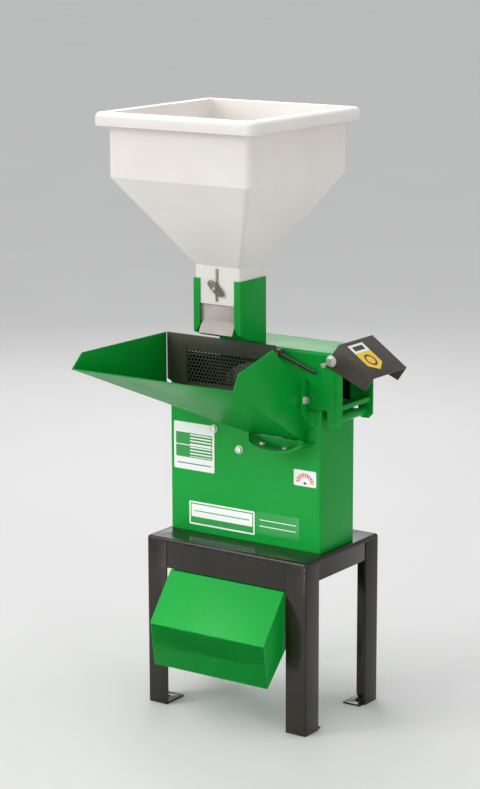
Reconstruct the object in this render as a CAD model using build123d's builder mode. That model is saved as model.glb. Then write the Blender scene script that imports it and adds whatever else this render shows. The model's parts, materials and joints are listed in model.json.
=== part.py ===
from build123d import *
from math import cos, sin, radians, hypot
import os

os.makedirs("parts", exist_ok=True)

# Forage and grain chopper on an angle-iron stand.
# Origin: centre of the stand on the floor. +X is the machine's right seen from the front,
# the front faces -Y, +Z is up. Millimetres.

# --- stand
STAND_X = 202.0            # half width over the legs
STAND_Y = 142.0            # half depth over the legs
STAND_TOP = 373.0          # height of the deck
LEG_FLANGE = 50.0
LEG_WALL = 4.0
DECK_RIM = 9.0           # depth of the deck's rounded rim
SKIRT_FRONT = 66.0
SKIRT_SIDE = 48.0
SHEET = 2.5
FOOT_X, FOOT_Y, FOOT_WALL = 47.0, 64.0, 4.0
SLOT_LONG, SLOT_WIDE = 16.0, 9.0
SLOT_X, SLOT_Y = STAND_X - 22.0, STAND_Y - 38.0
# --- casing
CASE_LEFT, CASE_RIGHT = -195.5, 186.0
CASE_FRONT, CASE_BACK = -63.0, 67.0
CASE_HEIGHT = 306.0
CASE_WALL = 3.0
CASE_TOP = STAND_TOP + CASE_HEIGHT
SHOULDER_RIGHT = -62.0     # fixed upper part to the left of the cover
SHOULDER_TOP = CASE_TOP + 86.0
# --- rotor
AXIS_X, AXIS_Z = 10.0, CASE_TOP - 15.0
CHAMBER_R = 130.0          # inner radius of the sieve
SHAFT_R = 15.0
RUN_FIT = 0.05
HUB_R = SHAFT_R + 10.0
DISC_R = CHAMBER_R - 40.0
PIN_CIRCLE_R = CHAMBER_R - 62.0
PIN_R = 6.0
HAMMER_LONG = 50.0
HAMMER_WIDE = 24.0
KNIFE_TIP_R = CHAMBER_R - 12.0
SHAFT_BACK = CASE_BACK + 123.0
DRIVE_R = SHAFT_R - 1.0    # stepped end that takes the pulley
CHAMBER_BACK = CASE_BACK - 20.0    # front face of the chamber's back plate
# --- cover
COVER_LEFT, COVER_RIGHT = SHOULDER_RIGHT + 2.0, CASE_RIGHT + 52.0
COVER_FRONT, COVER_BACK = CASE_FRONT - 4.0, CASE_BACK - 11.0
COVER_TOP = CASE_TOP + 120.0
COVER_SHEET = 3.0
HINGE_X, HINGE_Z = CASE_RIGHT + 32.0, CASE_TOP - 18.0
HINGE_R = 5.0
EAR_BOTTOM = HINGE_Z - 16.0
PIVOT_X, PIVOT_Z = COVER_RIGHT - 23.0, COVER_TOP - 14.0
PIVOT_R = 4.0
# --- feed unit
THROAT_LEFT, THROAT_RIGHT = 12.0, 131.0
THROAT_BOTTOM, THROAT_TOP = CASE_TOP - 72.0, CASE_TOP + 49.0
PANEL_LEFT, PANEL_RIGHT, PANEL_TOP = CASE_LEFT + 0.5, 82.0, COVER_TOP + 4.0
PANEL_Y = CASE_FRONT - 11.0
SCREEN_LEFT, SCREEN_RIGHT = -143.0, 40.0
SCREEN_BOTTOM, SCREEN_TOP = CASE_TOP + 18.0, CASE_TOP + 90.0
SCREEN_PITCH, SCREEN_HOLE_R = 8.5, 3.35
CHANNEL_LEFT, CHANNEL_RIGHT = -61.8, 54.7
CHANNEL_BACK = CASE_FRONT - 5.5
CHANNEL_FRONT = CHANNEL_BACK - 93.5
CHANNEL_TOP, CHANNEL_FOOT = CASE_TOP + 265.0, CASE_TOP + 97.0
CHANNEL_SHEET = 2.0
LIP_WIDE = 16.0
LIP_BOTTOM = CHANNEL_TOP - 99.0
TRAY_RIGHT = 149.0
LIP_Y, LIP_Z = PANEL_Y - 248.0, CASE_TOP + 78.0
TRAY_BACK = PANEL_Y - 1.0
# --- hopper
NECK_BOTTOM, NECK_TOP = CHANNEL_TOP - 52.0, CHANNEL_TOP + 27.0
BOX_BOTTOM, HOPPER_TOP = NECK_TOP + 183.5, NECK_TOP + 314.0
HOPPER_WALL = 4.0
BOX_X, BOX_Y = 344.0, 356.4
BOX_CENTRE_X = (CHANNEL_LEFT + CHANNEL_RIGHT) / 2 - 0.95
BOX_CENTRE_Y = (CHANNEL_FRONT + CHANNEL_BACK) / 2 - 0.15
RIM_OUT = 21.4
RIM_DROP = 26.0
NECK_CORNER, BOX_CORNER, RIM_CORNER = 4.5, 13.0, 16.0
GAP = 0.5
# --- deflector
DEFLECTOR_LONG = 102.0
DEFLECTOR_SLOPE = 35.4
DEFLECTOR_X, DEFLECTOR_Z = COVER_RIGHT - 6.0, COVER_TOP + 21.0    # upper front corner of the hood
CHEEK_NEAR, CHEEK_FAR = 57.0, 35.0
# --- chute
CHUTE_LEFT, CHUTE_RIGHT = -141.0, 148.0


def over_case(height):
    """Height measured from the casing's top edge."""
    return CASE_TOP + height


def over_deck(height):
    """Height measured from the stand's deck."""
    return STAND_TOP + height


def front_plane(y):
    """Plane square to Y at y: local x is X, local y is Z, normal to the front."""
    return Plane(origin=(0, y, 0), x_dir=(1, 0, 0), z_dir=(0, -1, 0))


def side_plane(x):
    """Plane square to X at x: local x is Y, local y is Z."""
    return Plane(origin=(x, 0, 0), x_dir=(0, 1, 0), z_dir=(1, 0, 0))


def block(x0, x1, y0, y1, z0, z1, mode=Mode.ADD):
    """Rectangular bar between two corners."""
    with BuildSketch(Plane.XY.offset(z0)) as outline:
        with Locations(((x0 + x1) / 2, (y0 + y1) / 2)):
            Rectangle(x1 - x0, y1 - y0)
    extrude(outline.sketch, amount=z1 - z0, mode=mode)


def slab_xz(points, y0, y1, mode=Mode.ADD):
    """Plate with an outline in X and Z, between two depths."""
    with BuildSketch(front_plane(y0)) as outline:
        with BuildLine():
            Polyline(*points, close=True)
        make_face()
    extrude(outline.sketch, amount=-(y1 - y0), mode=mode)


def slab_yz(points, x0, x1, mode=Mode.ADD):
    """Plate with an outline in Y and Z, between two widths."""
    with BuildSketch(side_plane(x0)) as outline:
        with BuildLine():
            Polyline(*points, close=True)
        make_face()
    extrude(outline.sketch, amount=x1 - x0, mode=mode)


def rod_y(x, z, r, y0, y1, mode=Mode.ADD):
    """Round bar along Y."""
    with BuildSketch(front_plane(y0)) as outline:
        with Locations((x, z)):
            Circle(r)
    extrude(outline.sketch, amount=-(y1 - y0), mode=mode)


def rod_x(y, z, r, x0, x1, mode=Mode.ADD):
    """Round bar along X."""
    with BuildSketch(side_plane(x0)) as outline:
        with Locations((y, z)):
            Circle(r)
    extrude(outline.sketch, amount=x1 - x0, mode=mode)


def hexagon_y(x, z, r, y0, y1):
    """Bolt head or nut whose axis is along Y."""
    with BuildSketch(front_plane(y0)) as outline:
        with Locations((x, z)):
            RegularPolygon(r, 6)
    extrude(outline.sketch, amount=-(y1 - y0))


def keep(part, name):
    """Label a finished piece and write it."""
    part.label = name
    export_step(part, "parts/" + name + ".step")


# ---------------------------------------------------------------- stand
def make_leg(name, sx, sy):
    """Angle-iron leg with a slotted foot tab welded inside its bottom."""
    x_out, y_out = sx * STAND_X, sy * STAND_Y
    top = STAND_TOP - DECK_RIM
    with BuildPart() as leg:
        block(min(x_out, x_out - sx * LEG_FLANGE), max(x_out, x_out - sx * LEG_FLANGE),
              min(y_out, y_out - sy * LEG_WALL), max(y_out, y_out - sy * LEG_WALL), 0, top)
        block(min(x_out, x_out - sx * LEG_WALL), max(x_out, x_out - sx * LEG_WALL),
              min(y_out, y_out - sy * LEG_FLANGE), max(y_out, y_out - sy * LEG_FLANGE), 0, top)
        tab_y = y_out - sy * FOOT_Y
        tab_x, inner_x = x_out - sx * FOOT_X, x_out - sx * LEG_WALL
        inner_y = y_out - sy * LEG_WALL
        block(min(inner_x, tab_x), max(inner_x, tab_x), min(inner_y, tab_y), max(inner_y, tab_y),
              0, FOOT_WALL)
        with BuildSketch(Plane.XY):
            with Locations((sx * SLOT_X, sy * SLOT_Y)):
                SlotOverall(SLOT_LONG, SLOT_WIDE)
        extrude(amount=FOOT_WALL, mode=Mode.SUBTRACT)
        corner = leg.edges().filter_by(Axis.Z).sort_by_distance((x_out, y_out, top / 2))[0]
        fillet(corner, LEG_WALL)
    keep(leg.part, name)


for side, sx in (("left", -1), ("right", 1)):
    for end, sy in (("front", -1), ("back", 1)):
        make_leg("leg_" + end + "_" + side, sx, sy)

# Deck: folded sheet with skirts between the legs; the drop opening is under the sieve.
DROP_X, DROP_Y = 125.0, 50.0
SKIRT_X = STAND_X - LEG_FLANGE - GAP
SKIRT_Y = STAND_Y - LEG_FLANGE - GAP
with BuildPart() as deck:
    block(-STAND_X, STAND_X, -STAND_Y, STAND_Y, STAND_TOP - DECK_RIM, STAND_TOP)
    fillet(deck.edges().filter_by(Axis.Z), 4)
    fillet(deck.faces().sort_by(Axis.Z)[-1].edges(), DECK_RIM - 3)
    block(-STAND_X + DECK_RIM, STAND_X - DECK_RIM, -STAND_Y + DECK_RIM, STAND_Y - DECK_RIM,
          STAND_TOP - DECK_RIM, STAND_TOP - SHEET, Mode.SUBTRACT)
    for s in (-1, 1):
        outer = s * (STAND_Y - 1)
        inner = outer - s * SHEET
        block(-SKIRT_X, SKIRT_X, min(outer, inner), max(outer, inner),
              STAND_TOP - SKIRT_FRONT, STAND_TOP - DECK_RIM)
        outer = s * (STAND_X - 1)
        inner = outer - s * SHEET
        block(min(outer, inner), max(outer, inner), -SKIRT_Y, SKIRT_Y,
              STAND_TOP - SKIRT_SIDE, STAND_TOP - DECK_RIM)
    block(-DROP_X, DROP_X, -DROP_Y, DROP_Y, STAND_TOP - SHEET, STAND_TOP, Mode.SUBTRACT)
keep(deck.part, "stand_deck")

# Lower chute: sloping floor from the back of the drop opening, closed sides, hooded mouth.
CHUTE_SHEET = 2.0
CHUTE_CEILING = STAND_TOP - SHEET - GAP
CHUTE_FRONT = -STAND_Y + DECK_RIM + 2
CHUTE_OUTLINE = [(55, CHUTE_CEILING), (CHUTE_FRONT, CHUTE_CEILING), (CHUTE_FRONT, over_deck(-68.5)),
                 (-STAND_Y, over_deck(-68.5)), (-STAND_Y - 74, over_deck(-164.5)),
                 (-STAND_Y - 60, over_deck(-261)), (-STAND_Y + 5, over_deck(-195))]
with BuildPart() as chute:
    slab_yz(CHUTE_OUTLINE, CHUTE_LEFT, CHUTE_RIGHT)
    t = CHUTE_SHEET
    slab_yz([(52.2, CHUTE_CEILING), (CHUTE_FRONT + t, CHUTE_CEILING), (CHUTE_FRONT + t, over_deck(-70.5)),
             (-STAND_Y + 1, over_deck(-70.5)), (-STAND_Y - 72, over_deck(-165.5)),
             (-STAND_Y - 88, over_deck(-213)), (-STAND_Y - 70, over_deck(-271)),
             (-STAND_Y + 5, over_deck(-192))],
            CHUTE_LEFT + t, CHUTE_RIGHT - t, Mode.SUBTRACT)
keep(chute.part, "lower_chute")

# ---------------------------------------------------------------- casing
with BuildPart() as casing:
    def ring(z0, z1, x_right):
        with BuildSketch(Plane.XY.offset(z0)) as outline:
            with Locations(((CASE_LEFT + x_right) / 2, (CASE_FRONT + CASE_BACK) / 2)):
                RectangleRounded(x_right - CASE_LEFT, CASE_BACK - CASE_FRONT, 5)
                RectangleRounded(x_right - CASE_LEFT - 2 * CASE_WALL,
                                 CASE_BACK - CASE_FRONT - 2 * CASE_WALL, 2, mode=Mode.SUBTRACT)
        extrude(outline.sketch, amount=z1 - z0)
    ring(STAND_TOP, CASE_TOP, CASE_RIGHT)
    ring(CASE_TOP, SHOULDER_TOP, SHOULDER_RIGHT)
    block(CASE_LEFT + 2, SHOULDER_RIGHT - 2, CASE_FRONT + 2, CASE_BACK - 2,
          SHOULDER_TOP - CASE_WALL, SHOULDER_TOP)
    # The rotor chamber and the throat are cut through whatever stands in them.
    rod_y(AXIS_X, AXIS_Z, CHAMBER_R + 3, CASE_FRONT + CASE_WALL, CASE_BACK - CASE_WALL,
          Mode.SUBTRACT)
    block(THROAT_LEFT, THROAT_RIGHT, CASE_FRONT - 1, CASE_FRONT + CASE_WALL + 1,
          THROAT_BOTTOM, CASE_TOP + 1, Mode.SUBTRACT)
    rod_y(AXIS_X, AXIS_Z, 40, CASE_BACK - CASE_WALL - 1, CASE_BACK + 1, Mode.SUBTRACT)
    block(SCREEN_LEFT + 4, SHOULDER_RIGHT - 8, CASE_FRONT - 1, CASE_FRONT + CASE_WALL + 1,
          SCREEN_BOTTOM + 4, SHOULDER_TOP - 8, Mode.SUBTRACT)
    # Flanges at the foot that stand on the deck.
    for s in (-1, 1):
        edge = CASE_LEFT + CASE_WALL if s < 0 else CASE_RIGHT - CASE_WALL
        block(min(edge, edge - s * 25), max(edge, edge - s * 25),
              CASE_FRONT + CASE_WALL, CASE_BACK - CASE_WALL, STAND_TOP, STAND_TOP + CASE_WALL)
keep(casing.part, "casing_shell")

# Chamber back plate inside the casing, with the shaft hole.
with BuildPart() as back_plate:
    block(CASE_LEFT + CASE_WALL + GAP, CASE_RIGHT - CASE_WALL - GAP, CHAMBER_BACK,
          CHAMBER_BACK + 3, AXIS_Z - CHAMBER_R - 18, CASE_TOP)
    rod_y(AXIS_X, AXIS_Z, 30, CHAMBER_BACK - 1, CHAMBER_BACK + 4, Mode.SUBTRACT)
keep(back_plate.part, "chamber_back_plate")

# Sieve: lower half ring of perforated sheet.
SIEVE_SHEET = 2.5
SIEVE_FRONT, SIEVE_BACK = CASE_FRONT + CASE_WALL + GAP, CHAMBER_BACK - GAP
with BuildPart() as sieve:
    rod_y(AXIS_X, AXIS_Z, CHAMBER_R + SIEVE_SHEET, SIEVE_FRONT, SIEVE_BACK)
    rod_y(AXIS_X, AXIS_Z, CHAMBER_R, SIEVE_FRONT, SIEVE_BACK, Mode.SUBTRACT)
    block(-300, 300, -100, 100, THROAT_BOTTOM - 6, over_case(221), Mode.SUBTRACT)
    for step in range(11):
        angle = 222 + step * 9.6
        plane = Plane(origin=(AXIS_X, 0, AXIS_Z), x_dir=(0, 1, 0),
                      z_dir=(cos(radians(angle)), 0, sin(radians(angle))))
        with BuildSketch(plane.offset(CHAMBER_R - 3)):
            with Locations(*[(SIEVE_FRONT + 14 + 19 * k, 0) for k in range(5)]):
                Circle(5)
        extrude(amount=10, mode=Mode.SUBTRACT)
keep(sieve.part, "sieve")

# Two angle rails that carry the sieve's ends.
with BuildPart() as rails:
    rail_z = THROAT_BOTTOM - 6
    reach = (CHAMBER_R ** 2 - (AXIS_Z - rail_z) ** 2) ** 0.5
    for s in (-1, 1):
        x = AXIS_X + s * (reach + SIEVE_SHEET * 1.3)
        wall = CASE_LEFT + CASE_WALL if s < 0 else CASE_RIGHT - CASE_WALL
        block(min(x + s * 3, wall), max(x + s * 3, wall), SIEVE_FRONT + 2, SIEVE_BACK,
              rail_z - 20, rail_z - 14)
keep(rails.part, "sieve_rails")

# Bearing housing bolted to the back wall, two ball bearings and an end cap.
HOUSING_R, BEARING_R, BEARING_WIDE = 42.0, 31.0, 16.0
HOUSING_FRONT, HOUSING_BACK = COVER_BACK + 2, CASE_BACK + 83.0
with BuildPart() as housing:
    rod_y(AXIS_X, AXIS_Z, 39.5, HOUSING_FRONT, CASE_BACK)
    rod_y(AXIS_X, AXIS_Z, 65, CASE_BACK, CASE_BACK + 10)
    rod_y(AXIS_X, AXIS_Z, HOUSING_R, CASE_BACK + 10, HOUSING_BACK)
    rod_y(AXIS_X, AXIS_Z, SHAFT_R + 3, HOUSING_FRONT, HOUSING_BACK, Mode.SUBTRACT)
    rod_y(AXIS_X, AXIS_Z, BEARING_R, HOUSING_FRONT + 3, HOUSING_FRONT + 3 + BEARING_WIDE,
          Mode.SUBTRACT)
    rod_y(AXIS_X, AXIS_Z, BEARING_R, HOUSING_FRONT - 1, HOUSING_FRONT + 3, Mode.SUBTRACT)
    rod_y(AXIS_X, AXIS_Z, BEARING_R, HOUSING_BACK - BEARING_WIDE - 3, HOUSING_BACK,
          Mode.SUBTRACT)
keep(housing.part, "bearing_housing")

for name, y0 in (("bearing_front", HOUSING_FRONT + 3),
                 ("bearing_back", HOUSING_BACK - BEARING_WIDE - 3)):
    with BuildPart() as bearing:
        rod_y(AXIS_X, AXIS_Z, BEARING_R, y0, y0 + BEARING_WIDE)
        rod_y(AXIS_X, AXIS_Z, SHAFT_R + RUN_FIT, y0, y0 + BEARING_WIDE, Mode.SUBTRACT)
    keep(bearing.part, name)

with BuildPart() as cap:
    rod_y(AXIS_X, AXIS_Z, HOUSING_R, HOUSING_BACK, HOUSING_BACK + 5)
    rod_y(AXIS_X, AXIS_Z, BEARING_R, HOUSING_BACK - 3, HOUSING_BACK)
    rod_y(AXIS_X, AXIS_Z, SHAFT_R + 0.5, HOUSING_BACK - 3, HOUSING_BACK + 5, Mode.SUBTRACT)
keep(cap.part, "bearing_cap")

with BuildPart() as housing_bolts:
    for k in range(4):
        a = radians(45 + 90 * k)
        hexagon_y(AXIS_X + 54 * cos(a), AXIS_Z + 54 * sin(a), 7.5, CASE_BACK + 10,
                  CASE_BACK + 16)
keep(housing_bolts.part, "housing_bolts")

# Counter knife under the throat, inside the front wall.
with BuildPart() as counter_knife:
    block(THROAT_LEFT, AXIS_X + CHAMBER_R - 37, CASE_FRONT + CASE_WALL, CASE_FRONT + CASE_WALL + 3,
          THROAT_BOTTOM - 20, THROAT_BOTTOM)
keep(counter_knife.part, "counter_knife")

# ---------------------------------------------------------------- rotor
KNIFE_FRONT = CASE_FRONT + CASE_WALL + 4
DISC_FRONT = KNIFE_FRONT + 6
DISC_WALL = 6.0
REAR_DISC = CHAMBER_BACK - 14
SHOULDER_Y = HOUSING_BACK + 7
KEY_WIDE, KEY_DEEP = 8.0, 4.0
with BuildPart() as shaft:
    rod_y(AXIS_X, AXIS_Z, SHAFT_R, DISC_FRONT, SHOULDER_Y)
    rod_y(AXIS_X, AXIS_Z, DRIVE_R, SHOULDER_Y, SHAFT_BACK)
    chamfer(shaft.faces().sort_by(Axis.Y)[-1].edges(), 1.5)
    # Keyway milled along the whole stepped end, up to its shoulder.
    block(AXIS_X - KEY_WIDE / 2, AXIS_X + KEY_WIDE / 2, SHOULDER_Y, SHAFT_BACK + 1,
          AXIS_Z + DRIVE_R - KEY_DEEP, AXIS_Z + DRIVE_R + 1, Mode.SUBTRACT)
keep(shaft.part, "rotor_shaft")


def pin_places():
    return [(AXIS_X + PIN_CIRCLE_R * cos(radians(45 + 90 * k)),
             AXIS_Z + PIN_CIRCLE_R * sin(radians(45 + 90 * k))) for k in range(4)]


for name, y0 in (("knife_disc", DISC_FRONT), ("rear_disc", REAR_DISC)):
    with BuildPart() as disc:
        rod_y(AXIS_X, AXIS_Z, DISC_R, y0, y0 + DISC_WALL)
        rod_y(AXIS_X, AXIS_Z, SHAFT_R, y0, y0 + DISC_WALL, Mode.SUBTRACT)
        for x, z in pin_places():
            rod_y(x, z, PIN_R, y0, y0 + DISC_WALL, Mode.SUBTRACT)
    keep(disc.part, name)

with BuildPart() as hub:
    rod_y(AXIS_X, AXIS_Z, HUB_R, DISC_FRONT + DISC_WALL, REAR_DISC)
    rod_y(AXIS_X, AXIS_Z, SHAFT_R, DISC_FRONT, REAR_DISC, Mode.SUBTRACT)
keep(hub.part, "rotor_hub")

for number, s in ((1, 1), (2, -1)):
    with BuildPart() as knife:
        x_in, x_out = AXIS_X + s * 34, AXIS_X + s * KNIFE_TIP_R
        slab_xz([(x_in, AXIS_Z - 20), (x_out, AXIS_Z - 20), (x_out, AXIS_Z + 14),
                 (x_in, AXIS_Z + 20)], KNIFE_FRONT, DISC_FRONT)
    keep(knife.part, "knife_" + str(number))

with BuildPart() as pins:
    for x, z in pin_places():
        rod_y(x, z, PIN_R, DISC_FRONT, REAR_DISC + DISC_WALL)
keep(pins.part, "hammer_pins")

with BuildPart() as rotor_nut:
    rod_y(AXIS_X, AXIS_Z, 22, KNIFE_FRONT + 2, DISC_FRONT)
keep(rotor_nut.part, "rotor_nut")

# Each pin carries a set of flat swinging hammers with a shared eye tube.
for k, (x, z) in enumerate(pin_places()):
    with BuildPart() as hammer:
        y_start, y_stop = DISC_FRONT + DISC_WALL + 1, REAR_DISC - 1
        rod_y(x, z, PIN_R + 5, y_start, y_stop)
        for n in range(4):
            y0 = y_start + 6 + n * (y_stop - y_start - 17) / 3
            block(x - HAMMER_WIDE / 2, x + HAMMER_WIDE / 2, y0, y0 + 5, z - HAMMER_LONG, z + 9)
        rod_y(x, z, PIN_R + RUN_FIT, y_start - 1, y_stop + 1, Mode.SUBTRACT)
    keep(hammer.part, "hammers_" + str(k + 1))

# ---------------------------------------------------------------- upper cover
EAR_LEFT = HINGE_X - 15
with BuildPart() as cover:
    with BuildSketch(side_plane(COVER_LEFT)):
        with BuildLine():
            Polyline((COVER_FRONT, CASE_TOP), (COVER_FRONT, COVER_TOP), (COVER_BACK, COVER_TOP),
                     (COVER_BACK, CASE_TOP), close=True)
        make_face()
    extrude(amount=COVER_RIGHT - COVER_LEFT)
    fillet(cover.edges().filter_by(Axis.X).group_by(Axis.Z)[-1], 6)
    block(COVER_LEFT - 1, COVER_RIGHT + 1, COVER_FRONT + COVER_SHEET, COVER_BACK - COVER_SHEET,
          CASE_TOP - 1, COVER_TOP - COVER_SHEET, Mode.SUBTRACT)
    for y0, y1 in ((COVER_FRONT, COVER_FRONT + COVER_SHEET),
                   (COVER_BACK - COVER_SHEET, COVER_BACK)):
        slab_xz([(EAR_LEFT, CASE_TOP), (EAR_LEFT, EAR_BOTTOM + 8), (EAR_LEFT + 8, EAR_BOTTOM),
                 (COVER_RIGHT - 10, EAR_BOTTOM), (COVER_RIGHT, EAR_BOTTOM + 10),
                 (COVER_RIGHT, CASE_TOP)], y0, y1)
        rod_y(HINGE_X, HINGE_Z, HINGE_R + RUN_FIT, y0 - 1, y1 + 1, Mode.SUBTRACT)
    block(THROAT_LEFT, THROAT_RIGHT, COVER_FRONT - 1, COVER_FRONT + COVER_SHEET + 1,
          CASE_TOP - 1, THROAT_TOP, Mode.SUBTRACT)
    block(COVER_LEFT + 8, THROAT_LEFT - 8, COVER_FRONT - 1, COVER_FRONT + COVER_SHEET + 1,
          SCREEN_BOTTOM + 4, SCREEN_TOP - 2, Mode.SUBTRACT)
    block(COVER_LEFT + 8, SCREEN_RIGHT - 4, COVER_FRONT - 1, COVER_FRONT + COVER_SHEET + 1,
          THROAT_TOP + 14, SCREEN_TOP - 2, Mode.SUBTRACT)
    rod_y(PIVOT_X, PIVOT_Z, PIVOT_R + RUN_FIT, COVER_FRONT - 1, COVER_FRONT + COVER_SHEET + 1,
          Mode.SUBTRACT)
    rod_y(PIVOT_X, PIVOT_Z, PIVOT_R + RUN_FIT, COVER_BACK - COVER_SHEET - 1, COVER_BACK + 1,
          Mode.SUBTRACT)
    rod_y(AXIS_X, AXIS_Z, SHAFT_R + 6, COVER_BACK - COVER_SHEET - 1, COVER_BACK + 1,
          Mode.SUBTRACT)
keep(cover.part, "upper_cover")

# Cross bar at the sill of the cover's outlet.
with BuildPart() as sill:
    block(COVER_RIGHT - 28, COVER_RIGHT - 4, COVER_FRONT + COVER_SHEET,
          COVER_BACK - COVER_SHEET, CASE_TOP + 3, CASE_TOP + 13)
keep(sill.part, "outlet_sill")

# Curved liner plate that turns the chopped crop towards the outlet.
with BuildPart() as liner:
    rod_y(AXIS_X, AXIS_Z, CHAMBER_R + 2, COVER_FRONT + COVER_SHEET + GAP,
          COVER_BACK - COVER_SHEET - GAP)
    rod_y(AXIS_X, AXIS_Z, CHAMBER_R, -100, 100, Mode.SUBTRACT)
    block(-300, COVER_LEFT + GAP, -100, 100, over_deck(0), over_case(221), Mode.SUBTRACT)
    block(AXIS_X + 2, 300, -100, 100, over_deck(0), over_case(221), Mode.SUBTRACT)
    block(-300, 300, -100, 100, over_deck(0), over_case(40), Mode.SUBTRACT)
keep(liner.part, "cover_liner")

# Fixed hinge: a tube between the ears, on a bracket from the casing's side.
with BuildPart() as hinge:
    y0, y1 = COVER_FRONT + COVER_SHEET + GAP, COVER_BACK - COVER_SHEET - GAP
    rod_y(HINGE_X, HINGE_Z, 9, y0, y1)
    block(CASE_RIGHT, HINGE_X, -45, -35, HINGE_Z - 7, HINGE_Z + 7)
    block(CASE_RIGHT, HINGE_X, 25, 35, HINGE_Z - 7, HINGE_Z + 7)
    rod_y(HINGE_X, HINGE_Z, HINGE_R, y0 - 1, y1 + 1, Mode.SUBTRACT)
keep(hinge.part, "hinge_tube")

with BuildPart() as hinge_pin:
    rod_y(HINGE_X, HINGE_Z, HINGE_R, COVER_FRONT - 1, COVER_BACK + 1)
keep(hinge_pin.part, "hinge_pin")

# ---------------------------------------------------------------- deflector
SLOPE = radians(DEFLECTOR_SLOPE)
DEF_FRONT, DEF_BACK = COVER_FRONT - 3.5, COVER_BACK + 3.5
DEF_SHEET = 2.5


def along(distance, drop):
    """Point on the hood: distance down the slope from its upper end, drop below the top."""
    return (DEFLECTOR_X + distance * cos(SLOPE) - drop * sin(SLOPE),
            DEFLECTOR_Z - distance * sin(SLOPE) - drop * cos(SLOPE))


with BuildPart() as deflector:
    outline = [along(0, 0), along(DEFLECTOR_LONG, 0), along(DEFLECTOR_LONG, CHEEK_FAR),
               along(0, CHEEK_NEAR)]
    slab_xz(outline, DEF_FRONT, DEF_BACK)
    inner = [along(-20, DEF_SHEET), along(DEFLECTOR_LONG + 26, DEF_SHEET),
             along(DEFLECTOR_LONG + 26, 90), along(-20, 90)]
    slab_xz(inner, DEF_FRONT + DEF_SHEET, DEF_BACK - DEF_SHEET, Mode.SUBTRACT)
    rod_y(PIVOT_X, PIVOT_Z, PIVOT_R + RUN_FIT, DEF_FRONT - 1, DEF_FRONT + DEF_SHEET + 1, Mode.SUBTRACT)
    rod_y(PIVOT_X, PIVOT_Z, PIVOT_R + RUN_FIT, DEF_BACK - DEF_SHEET - 1, DEF_BACK + 1, Mode.SUBTRACT)
keep(deflector.part, "deflector_hood")

# Clamping screws of the deflector, one at each cheek: washer, domed head, short ball arm.
for name, face, s in (("deflector_screw_front", DEF_FRONT, -1),
                      ("deflector_screw_back", DEF_BACK, 1)):
    with BuildPart() as screw:
        deep = face - s * (DEF_SHEET + COVER_SHEET + 3)
        rod_y(PIVOT_X, PIVOT_Z, PIVOT_R, min(deep, face + s * 8), max(deep, face + s * 8))
        near, far = face + s * 0.4, face + s * 2
        rod_y(PIVOT_X, PIVOT_Z, 12, min(near, far), max(near, far))
        near, far = face + s * 2, face + s * 8
        rod_y(PIVOT_X, PIVOT_Z, 8.5, min(near, far), max(near, far))
        fillet(screw.edges().filter_by(GeomType.CIRCLE).sort_by(Axis.Y)[-1 if s > 0 else 0], 2)
        slab_xz([(PIVOT_X - 4, PIVOT_Z - 7), (PIVOT_X - 14, PIVOT_Z - 12),
                 (PIVOT_X - 16, PIVOT_Z - 8), (PIVOT_X - 6, PIVOT_Z - 1)],
                min(near, far) + 1, max(near, far) - 1)
        rod_y(PIVOT_X - 16, PIVOT_Z - 10, 5, min(near, far), max(near, far))
    keep(screw.part, name)

# ---------------------------------------------------------------- feed unit
def floor_height(x, y):
    """Height of the tray's floor sheet, on its top face."""
    share = (y - LIP_Y) / (TRAY_BACK - LIP_Y)
    fold = LIP_Z + 3
    back = over_case(15 - 82 * (x + 190) / 200 if x < 10 else -67)
    return fold + share * (back - fold)


def tray_left(y):
    """X of the tray's left side at depth y."""
    return -251 + (y - LIP_Y - 14) * 56 / 233


with BuildPart() as floor:
    corner_b = (tray_left(LIP_Y), LIP_Y, LIP_Z)
    corner_d = (tray_left(TRAY_BACK), TRAY_BACK, floor_height(-190, TRAY_BACK))
    fold_front = (60, LIP_Y, LIP_Z)
    fold_back = (10, TRAY_BACK, floor_height(10, TRAY_BACK))
    right_front = (TRAY_RIGHT - SHEET - 0.2, LIP_Y, LIP_Z)
    right_back = (TRAY_RIGHT - SHEET - 0.2, TRAY_BACK, floor_height(10, TRAY_BACK))
    for triangle in ((corner_b, fold_front, fold_back), (corner_b, fold_back, corner_d),
                     (fold_front, right_front, right_back), (fold_front, right_back, fold_back)):
        extrude(to_extrude=Face(Wire.make_polygon(triangle)), amount=SHEET, dir=(0, 0, 1))
keep(floor.part, "tray_floor")

with BuildPart() as left_wall:
    top = PANEL_TOP
    left_points = [(tray_left(LIP_Y), LIP_Y, LIP_Z - 1), (tray_left(LIP_Y + 27), LIP_Y + 27, over_case(110)),
                   (tray_left(TRAY_BACK), TRAY_BACK, top),
                   (tray_left(TRAY_BACK), TRAY_BACK, floor_height(-190, TRAY_BACK) - 1)]
    extrude(to_extrude=Face(Wire.make_polygon(left_points)), amount=SHEET, dir=(-1, 0, 0))
keep(left_wall.part, "tray_left_wall")

with BuildPart() as right_wall:
    slab_yz([(LIP_Y - 1, LIP_Z + 1), (LIP_Y + 19, over_case(113)), (LIP_Y + 139, over_case(140)),
             (TRAY_BACK - 15, over_case(57)), (TRAY_BACK - 15, over_case(-7)),
             (TRAY_BACK + 6.5, over_case(-39)), (TRAY_BACK + 11, over_case(-49)),
             (TRAY_BACK + 11, over_case(-75)), (TRAY_BACK, over_case(-68))],
            TRAY_RIGHT - SHEET, TRAY_RIGHT)
keep(right_wall.part, "tray_right_wall")

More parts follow.
